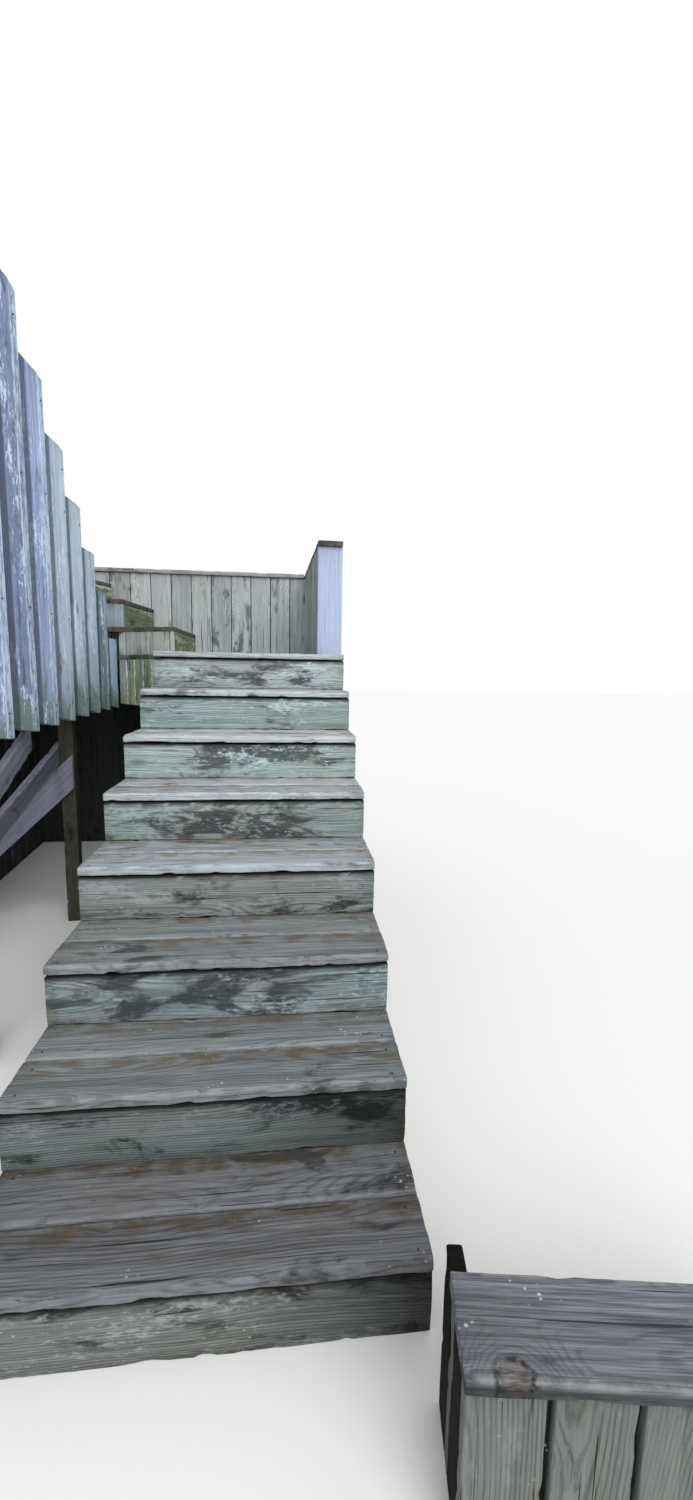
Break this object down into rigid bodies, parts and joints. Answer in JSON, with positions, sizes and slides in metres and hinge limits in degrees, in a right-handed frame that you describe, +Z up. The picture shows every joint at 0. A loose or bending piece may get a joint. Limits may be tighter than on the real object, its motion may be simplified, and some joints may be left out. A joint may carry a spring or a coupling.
{
  "type": "timber garden stairs",
  "caption": "Weathered timber garden stairs: a straight plank flight, a landing, winding steps, an upper flight with a boarded skirt, and board walls.",
  "frame": {"origin": "middle of the bottom riser's underside, at ground level", "axes": "+X to the right when facing the stairs, +Y up the lower flight towards the back wall, +Z up"},
  "size_m": [3.7554, 5.1939, 3.68],
  "materials": {
    "riser_wood": "weathered",
    "tread_wood": "weathered",
    "wall_wood": "weathered",
    "skirt_wood": "weathered",
    "dark_wood": "weathered",
    "frame_wood": "weathered"
  },
  "bodies": {
    "root": {"riser_1": "riser_wood", "riser_2": "riser_wood", "riser_3": "riser_wood", "riser_4": "riser_wood", "riser_5": "riser_wood", "riser_6": "riser_wood", "riser_7": "riser_wood", "riser_8": "riser_wood", "tread_1": "tread_wood", "tread_2": "tread_wood", "tread_3": "tread_wood", "tread_4": "tread_wood", "tread_5": "tread_wood", "tread_6": "tread_wood", "tread_7": "tread_wood", "tread_8": "tread_wood", "side_boards": "riser_wood", "side_plates": "riser_wood", "landing_deck": "tread_wood", "landing_joists": "frame_wood", "landing_rims": "frame_wood", "wing_skirt": "skirt_wood", "deck_posts": "frame_wood", "winder_treads": "dark_wood", "winder_risers": "riser_wood", "winder_sides": "wall_wood", "winder_joists": "frame_wood", "upper_treads": "dark_wood", "upper_risers": "riser_wood", "upper_stringers": "frame_wood", "upper_beam": "frame_wood", "upper_skirt": "skirt_wood", "upper_outer_boards": "skirt_wood", "upper_braces": "frame_wood", "back_wall_boards": "wall_wood", "back_wall_cap": "wall_wood", "back_wall_rails": "frame_wood", "wall_posts": "frame_wood", "end_wall_boards": "wall_wood", "end_wall_end_board": "wall_wood", "end_wall_cap": "dark_wood", "corner_wall_boards": "wall_wood", "corner_wall_side_board": "dark_wood", "corner_wall_cap": "dark_wood", "corner_wall_posts": "frame_wood"}
  },
  "joints": []
}
